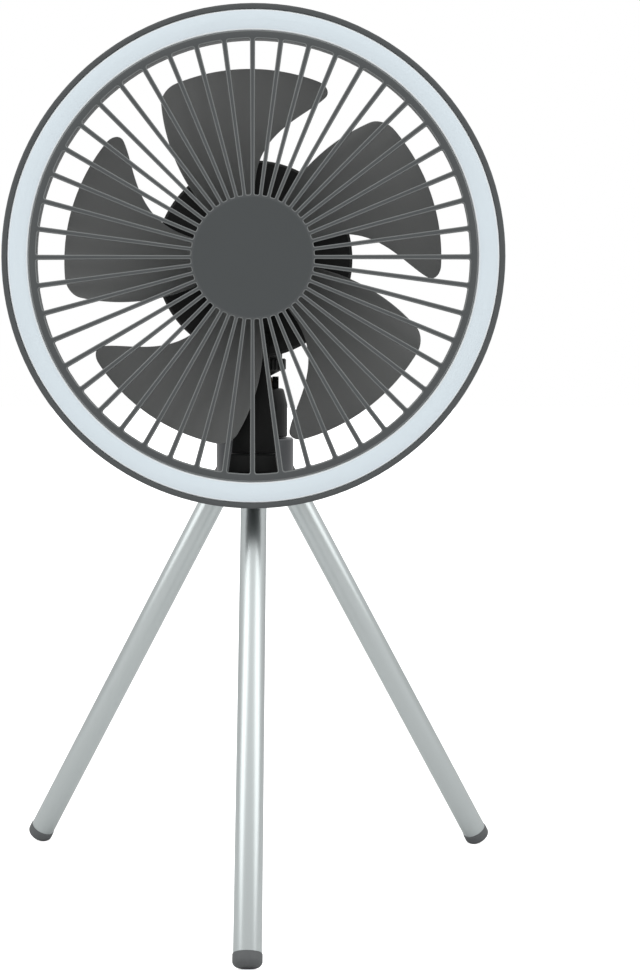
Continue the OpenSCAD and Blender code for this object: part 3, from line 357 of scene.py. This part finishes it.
# ---- Motor ----
# A brushless motor: a laminated stator with nine wound teeth on the housing's
# bearing tube, its ring board behind, and a magnet ring in the fan's cup.
front_to_back = Matrix.Rotation(math.radians(90), 3, "X")
side_to_side = Matrix.Rotation(math.radians(90), 3, "Y")
lamination_grey = finish_of("lamination_grey", drawn_metal, {
    "Colour": (0.28, 0.29, 0.31, 1), "Streak": 0.3, "Gloss": 0.4, "Depth": 0.00002},
    place=front_to_back, Metallic=1.0)
copper_wire = finish_of("enamelled_copper", drawn_metal, {
    "Colour": (0.62, 0.25, 0.1, 1), "Streak": 0.5, "Gloss": 0.3, "Depth": 0.00004},
    place=side_to_side, Metallic=0.9)
board_green = finish_of("green_board", moulded_grain, {
    "Colour": (0.01, 0.1, 0.035, 1), "Mottle": 0.2, "Grain": 700.0, "Depth": 0.00001,
    "Gloss": 0.3, "Spread": 0.1})
for node in ("front_bearing", "rear_bearing", "rotor_shaft", "shaft_clip"):
    shade(nodes[node], plain_steel)
shade(nodes["stator_core"], lamination_grey)
shade(nodes["stator_coils"], copper_wire)
shade(nodes["motor_board"], board_green)
shade(nodes["rotor_yoke"], lamination_grey)
magnet_black = finish_of("magnet_black", moulded_grain, {
    "Colour": (0.02, 0.02, 0.022, 1), "Mottle": 0.2, "Grain": 3000.0, "Depth": 0.00001,
    "Gloss": 0.4, "Spread": 0.1})
shade(nodes["rotor_magnet"], magnet_black)

# ---- Cells and boards ----
# Three lithium cells in a moulded cradle, joined by nickel tabs, and the
# control board with its two switches and the charging socket.
cell_green = finish_of("cell_sleeve", moulded_grain, {
    "Colour": (0.02, 0.16, 0.1, 1), "Mottle": 0.15, "Grain": 400.0, "Depth": 0.00001,
    "Gloss": 0.3, "Spread": 0.05})
cradle_cream = finish_of("cradle_cream", moulded_grain, {
    "Colour": (0.5, 0.5, 0.44, 1), "Mottle": 0.1, "Grain": 1500.0, "Depth": 0.00002,
    "Gloss": 0.5, "Spread": 0.1})
chip_black = finish_of("chip_black", moulded_grain, {
    "Colour": (0.015, 0.015, 0.017, 1), "Mottle": 0.2, "Grain": 2500.0, "Depth": 0.00001,
    "Gloss": 0.5, "Spread": 0.1})
for node, material in (("battery_cells", cell_green), ("battery_cradle", cradle_cream),
                       ("battery_tabs", plain_steel), ("control_board", board_green),
                       ("board_parts", chip_black)):
    shade(nodes[node], material)

# ---- Fan ----
# Five wide blades and the cup that carries them, moulded in one piece in satin
# grey plastic. The cup's boss sits on the motor's shaft.
blade_grey = finish_of("blade_grey_plastic", moulded_grain, {
    "Colour": (0.148, 0.152, 0.150, 1), "Mottle": 0.15, "Grain": 2400.0, "Depth": 0.00001,
    "Gloss": 0.42, "Spread": 0.12}, Specular_IOR_Level=0.4)
# A lighter grey for the blades' rounded edges: a painted highlight where light catches them.
blade_painted_highlight = finish_of("blade_plastic_painted_highlight", moulded_grain, {
    "Colour": (0.25, 0.255, 0.25, 1), "Mottle": 0.15, "Grain": 2400.0, "Depth": 0.000005,
    "Gloss": 0.35, "Spread": 0.1})
blade_count = 5
cup_r = 0.027
blade_r = 0.091
root_r = cup_r - 0.001
sweep_r = cup_r + 0.0037
first_edge, sweep, root_angle, trail_sweep = 65, 24, 45.4, 15.4
blade_back, blade_rise = 0.0206, 0.0128
edge_t, middle_t, fillet_t, fillet_reach = 0.0006, 0.0018, 0.0030, 0.0016
blade_inset, tip_round, curl, curl_from = 0.0002, 0.006, 0.0007, 0.84
corner_share, lead_power, trail_power = 0.09, 1.35, 1.3
ring_low, ring_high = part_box("ring_housing")
axis = Vector((0, ring_low[1], (ring_low[2] + ring_high[2]) / 2))


def blade_place(u, s):
    """Where the blade's middle surface lies, u across the chord and s out from the root."""
    end = max(0, corner_share - u, u - 1 + corner_share) / corner_share
    r = root_r + (blade_r - tip_round * (1 - math.sqrt(1 - end * end)) - root_r) * s
    share = max(0, (r - sweep_r) / (blade_r - sweep_r))
    lead = first_edge + sweep * (1 - (3 * share ** 2 - 2 * share ** 3) ** lead_power)
    trail = first_edge + sweep + root_angle - trail_sweep * share ** trail_power
    turn = math.radians(lead + (trail - lead) * u)
    depth = blade_back - middle_t / 2 - blade_inset - blade_rise * (0.55 * u + 0.45 * u * u)
    depth -= curl * max(0, (u - curl_from) / (1 - curl_from)) ** 2
    thick = edge_t + (middle_t - edge_t) * math.sqrt(max(0, math.sin(math.pi * u)))
    thick += fillet_t * math.exp(-max(0, r - cup_r) / fillet_reach)
    return axis + Vector((r * math.cos(turn), depth, r * math.sin(turn))), thick


def turned(name, outline, steps=128):
    """A closed outline of (radius, depth) points, spun round the fan's axis."""
    weld = 0.000001
    deselect()
    first_r, first_depth = outline[0]
    bpy.ops.mesh.primitive_plane_add(size=0.001, location=axis + Vector((first_r, first_depth, 0)))
    piece = bpy.context.object
    piece.name = name
    bpy.ops.object.transform_apply()
    bpy.ops.object.mode_set(mode="EDIT")
    bpy.ops.mesh.merge(type="CENTER")
    for (r0, d0), (r1, d1) in zip(outline, outline[1:] + outline[:1]):
        bpy.ops.mesh.extrude_region_move(TRANSFORM_OT_translate={"value": (r1 - r0, d1 - d0, 0)})
    bpy.ops.mesh.select_all(action="SELECT")
    bpy.ops.mesh.remove_doubles(threshold=weld)
    bpy.ops.mesh.spin(steps=steps, angle=math.tau, center=axis, axis=(0, 1, 0))
    bpy.ops.mesh.select_all(action="SELECT")
    bpy.ops.mesh.remove_doubles(threshold=weld)
    bpy.ops.mesh.normals_make_consistent(inside=False)
    bpy.ops.object.mode_set(mode="OBJECT")
    return piece


def modify(piece, kind, **settings):
    """Adds a modifier and applies it."""
    deselect()
    bpy.context.view_layer.objects.active = piece
    piece.select_set(True)
    tool = piece.modifiers.new(kind.lower(), kind)
    for key, value in settings.items():
        setattr(tool, key, value)
    bpy.ops.object.modifier_apply(modifier=tool.name)


def about_axis(angle):
    """The matrix that turns a mesh round the fan's axis."""
    return Matrix.Translation(axis) @ Matrix.Rotation(angle, 4, "Y") @ Matrix.Translation(-axis)


def all_round(piece, count):
    """The piece and its copies, each with a mesh of its own, evenly round the fan's axis."""
    pieces = [piece]
    for turn in range(1, count):
        copy = bpy.data.objects.new(f"{piece.name}_{turn}", piece.data.copy())
        bpy.context.scene.collection.objects.link(copy)
        copy.data.transform(about_axis(math.tau * turn / count))
        pieces.append(copy)
    return pieces


def join_into(whole, pieces):
    """Makes one object, the whole, of itself and the pieces."""
    deselect()
    for piece in pieces:
        piece.select_set(True)
    whole.select_set(True)
    bpy.context.view_layer.objects.active = whole
    bpy.ops.object.join()


deselect()
bpy.ops.mesh.primitive_grid_add(x_subdivisions=44, y_subdivisions=30, size=1)
blade = bpy.context.object
blade.name = "blade"
weights = blade.vertex_groups.new(name="thickness")
for vertex in blade.data.vertices:
    chord = (1 - math.cos(math.pi * (vertex.co.x + 0.5))) / 2
    vertex.co, thick = blade_place(chord, vertex.co.y + 0.5)
    weights.add([vertex.index], thick / (middle_t + fillet_t), "REPLACE")
modify(blade, "SOLIDIFY", thickness=middle_t + fillet_t, offset=0, vertex_group="thickness")
blade.data.materials.append(blade_grey)
blade.data.materials.append(blade_painted_highlight)
# The blades' rounded edges get the lighter grey: a painted highlight.
modify(blade, "BEVEL", width=0.00028, segments=3, limit_method="ANGLE",
       angle_limit=math.radians(50), material=1)
blade.vertex_groups.clear()
bpy.ops.object.mode_set(mode="EDIT")
bpy.ops.mesh.select_all(action="SELECT")
bpy.ops.mesh.normals_make_consistent(inside=False)
bpy.ops.object.mode_set(mode="OBJECT")
blades = all_round(blade, blade_count)
cup_front, cup_back, cup_wall = 0.0052, 0.0201, 0.002
bore_r, boss_r, boss_back = 0.0015, 0.0045, cup_front + 0.0054
cup = turned("fan", [
    (bore_r, cup_front), (cup_r - 0.002, cup_front), (cup_r - 0.0006, cup_front + 0.0006),
    (cup_r, cup_front + 0.002), (cup_r, cup_back), (cup_r - cup_wall, cup_back),
    (cup_r - cup_wall, cup_front + cup_wall), (boss_r, cup_front + cup_wall), (boss_r, boss_back),
    (bore_r, boss_back)])
cup.data.materials.append(blade_grey)
cup.data.materials.append(blade_painted_highlight)
modify(cup, "BEVEL", width=0.0003, segments=2, limit_method="ANGLE", angle_limit=math.radians(30))
join_into(cup, blades)
smooth(cup, 40)
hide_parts("fan_blades")
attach(cup, "rotor")

# ---- Ring and light ----
# A grey channel ring with a milky lens let into its face. Behind the lens is
# a ring board with forty-eight light chips.
ring_grey = finish_of("ring_grey_plastic", moulded_grain, {
    "Colour": (0.072, 0.078, 0.080, 1), "Mottle": 0.12, "Grain": 2600.0, "Depth": 0.00002,
    "Gloss": 0.5, "Spread": 0.15}, Specular_IOR_Level=0.35)
# A lighter grey for the rounded front edges of the grille's ribs and rim: a painted highlight.
ring_grey_painted_highlight = finish_of("ring_grey_plastic_painted_highlight", moulded_grain, {
    "Colour": (0.17, 0.18, 0.18, 1), "Mottle": 0.12, "Grain": 2600.0, "Depth": 0.000005,
    "Gloss": 0.4, "Spread": 0.1})
soft_edge = 0.0004
eased("ring_housing", soft_edge, ring_grey, "head", segments=3)
lens_white = finish_of("milky_lens", moulded_grain, {
    "Colour": (0.68, 0.76, 0.81, 1), "Mottle": 0.05, "Grain": 300.0, "Depth": 0.000005,
    "Gloss": 0.3, "Spread": 0.05})
# A paler white for the lens's rounded edges: a painted glow, as light shows through the edges of a
# milky lens.
lens_painted_edge_glow = finish_of("lens_painted_edge_glow", moulded_grain, {
    "Colour": (0.86, 0.90, 0.92, 1), "Mottle": 0.05, "Grain": 300.0, "Depth": 0.000005,
    "Gloss": 0.2, "Spread": 0.05})
# The lens's rounded edges get the paler white: a painted edge glow.
eased("light_lens", soft_edge, lens_white, "head", angle=15, highlight_material=lens_painted_edge_glow)
board_white = finish_of("white_board", moulded_grain, {
    "Colour": (0.8, 0.8, 0.78, 1), "Mottle": 0.05, "Grain": 900.0, "Depth": 0.00001,
    "Gloss": 0.35, "Spread": 0.1})
shade(nodes["led_board"], board_white)
chip_yellow = finish_of("phosphor_yellow", moulded_grain, {
    "Colour": (0.8, 0.6, 0.12, 1), "Mottle": 0.2, "Grain": 2500.0, "Depth": 0.00001,
    "Gloss": 0.4, "Spread": 0.1})
shade(nodes["led_chips"], chip_yellow)
shade(nodes["board_screws"], plain_steel)

# ---- Grille ----
# Forty-eight slim ribs between a blank disc and the rim, moulded in one piece in
# grey plastic. A flange round the rim sits in the ring housing.
disc_grey = finish_of("disc_grey_plastic", moulded_grain, {
    "Colour": (0.060, 0.066, 0.068, 1), "Mottle": 0.1, "Grain": 2600.0, "Depth": 0.00001,
    "Gloss": 0.5, "Spread": 0.12}, Specular_IOR_Level=0.35)
rib_count = 48
disc_r, slot_end_r, rim_out_r = 0.0296, 0.1033, 0.1071
root_w, tip_w, grille_t, rib_round, slot_round = 0.0018, 0.0024, 0.0032, 0.00045, 0.00025
root_corner, tip_corner = 0.0005, 0.0009
join_gap = 0.0012
disc_join_r, rim_join_r = disc_r - join_gap, slot_end_r + join_gap
rim_round, rim_round_middle = 0.0005, 0.00015
flange_front, flange_back, flange_out = 0.0022, 0.0037, 0.0016
skirt_in_r, skirt_back = 0.1059, 0.0047
half = math.pi / rib_count


def slot_corner(r, width, corner):
    """Centre of the rounding between a rib's side and a slot's end, on the upper side."""
    out = r - corner if r > 0.05 else r + corner
    off = width / 2 + corner
    along = math.sqrt(out * out - off * off)
    return Vector((along * math.cos(half) + off * math.sin(half),
                   along * math.sin(half) - off * math.cos(half)))


def slot_loop(grow):
    """One slot's outline, grown into the ribs. Each point has its partner, as (radius, turn),
    on the edge of the grille's sector."""
    root, tip = slot_corner(disc_r, root_w, root_corner), slot_corner(slot_end_r, tip_w, tip_corner)
    side = math.pi / 2 + half
    inner = []
    for k in range(4):
        turn = side + (math.pi - side) * k / 3
        spot = root + (root_corner + grow) * Vector((math.cos(turn), math.sin(turn)))
        edge = ((spot.length, half), (disc_join_r, half), (disc_join_r, half * 0.7),
                (disc_join_r, half * 0.35))[k]
        inner.append((spot, edge))
    outer = []
    for k in range(5):
        turn = side * (1 - k / 4) + math.atan2(tip.y, tip.x) * (k / 4)
        spot = tip + (tip_corner + grow) * Vector((math.cos(turn), math.sin(turn)))
        edge = ((spot.length, half), ((spot.length + rim_join_r) / 2, half), (rim_join_r, half),
                (rim_join_r, half * 0.9), (rim_join_r, math.atan2(spot.y, spot.x)))[k]
        outer.append((spot, edge))
    along_rib = [inner[0][0].lerp(outer[0][0], k / 7) for k in range(1, 7)]
    upper = inner[::-1] + [(spot, (spot.length, half)) for spot in along_rib] + outer
    lower = [(Vector((spot.x, -spot.y)), (r, -turn)) for spot, (r, turn) in reversed(upper)]
    start = (Vector((disc_r - grow, 0)), (disc_join_r, 0))
    end = (Vector((slot_end_r + grow, 0)), (rim_join_r, 0))
    return [start] + upper + [end] + lower + [start]


def placed_grid(name, rows):
    """A grid whose vertices are laid on the given rows of (x, height, depth) points."""
    across, down = len(rows[0]) - 1, len(rows) - 1
    deselect()
    bpy.ops.mesh.primitive_grid_add(x_subdivisions=across, y_subdivisions=down, size=1)
    piece = bpy.context.object
    piece.name = name
    for finish in (ring_grey, ring_grey_painted_highlight, disc_grey):
        piece.data.materials.append(finish)
    for vertex in piece.data.vertices:
        column = round((vertex.co.x + 0.5) * across)
        row = round((vertex.co.y + 0.5) * down)
        x, height, depth = rows[row][column]
        vertex.co = axis + Vector((x, depth, height))
    return piece


def polar(r, turn, depth):
    """A point of the grille, by its radius, its turn and its depth behind the face."""
    return (r * math.cos(turn), r * math.sin(turn), depth)


front_edge = [polar(*edge, 0) for _, edge in slot_loop(rib_round)]
back_edge = [polar(*edge, grille_t) for _, edge in slot_loop(slot_round)]
rows = [front_edge]
for k in range(4):
    turn = math.pi / 2 * (1 - k / 3)
    grow, depth = rib_round * (1 - math.cos(turn)), rib_round * (1 - math.sin(turn))
    rows.append([(spot.x, spot.y, depth) for spot, _ in slot_loop(grow)])
for grow, depth in ((0, grille_t - slot_round), (slot_round, grille_t)):
    rows.append([(spot.x, spot.y, depth) for spot, _ in slot_loop(grow)])
rows.append(back_edge)
window = placed_grid("window", rows)
hair = 0.00001
# The faces of the ribs' front rounding get the lighter grey: a painted highlight.
for face in window.data.polygons:
    deepest = max(window.data.vertices[v].co.y - axis.y for v in face.vertices)
    face.material_index = 1 if hair < deepest < rib_round + hair else 0


def turns_at(r):
    """Where the sector's edge meets a circle: the turns of its points there, in order."""
    edge = [partner for _, partner in slot_loop(rib_round)]
    return sorted({round(turn, 7) for out, turn in edge if abs(out - r) < 1e-7})


disc_rows = [disc_join_r, disc_join_r * 0.5, 0]
at_disc, at_rim = turns_at(disc_join_r), turns_at(rim_join_r)
discs = []
for name, depth in (("disc_front", 0), ("disc_back", grille_t)):
    piece = placed_grid(name, [[polar(r, turn, depth) for turn in at_disc] for r in disc_rows])
    discs.append(piece)
    for face in piece.data.polygons:
        face.material_index = 2
rim_profile = [
    (rim_join_r, 0), (rim_out_r - rim_round, 0), (rim_out_r - rim_round_middle, rim_round_middle),
    (rim_out_r, rim_round), (rim_out_r, flange_front), (rim_out_r + flange_out, flange_front),
    (rim_out_r + flange_out, flange_back), (rim_out_r, flange_back), (rim_out_r, skirt_back),
    (skirt_in_r, skirt_back), (skirt_in_r, grille_t), (rim_join_r, grille_t)]
rim = placed_grid("rim", [[polar(r, turn, depth) for turn in at_rim] for r, depth in rim_profile])
# The faces of the rim's front rounding get the lighter grey: a painted highlight.
for face in rim.data.polygons:
    depths = [rim.data.vertices[v].co.y - axis.y for v in face.vertices]
    rounded = any(hair < depth < rim_round + hair for depth in depths)
    face.material_index = 1 if rounded and max(depths) < rim_round + 2 * hair else 0
join_into(window, discs + [rim])
sectors = all_round(window, rib_count)
for piece in sectors:
    piece.data.transform(about_axis(half))
join_into(window, sectors)
grille = window
grille.name = "grille_moulding"
bpy.ops.object.mode_set(mode="EDIT")
bpy.ops.mesh.select_all(action="SELECT")
bpy.ops.mesh.remove_doubles(threshold=0.000004)
bpy.ops.mesh.normals_make_consistent(inside=False)
bpy.ops.object.mode_set(mode="OBJECT")
smooth(grille, 40)
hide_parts("front_grille")
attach(grille, "head")

# ---- Back panel and bail ----
# Two buttons, the charging socket and the charge light on the back, and a wire
# bail in two lugs to hang the fan by.
button_grey = finish_of("button_grey", moulded_grain, {
    "Colour": (0.04, 0.042, 0.042, 1), "Mottle": 0.2, "Grain": 2200.0, "Depth": 0.00002,
    "Gloss": 0.45, "Spread": 0.15})
for node in ("power_button", "light_button"):
    eased(node, soft_edge, button_grey, node, segments=3)
shade(nodes["usb_socket"], plain_steel)
eased("charge_lens", small_edge, lens_white, "head")
bright_wire = finish_of("bright_wire", drawn_metal, {
    "Colour": (0.62, 0.62, 0.62, 1), "Streak": 0.05, "Gloss": 0.18, "Depth": 0.000003},
    place=upright, Metallic=1.0)
eased("hanging_bail", thin_edge, bright_wire, "bail")
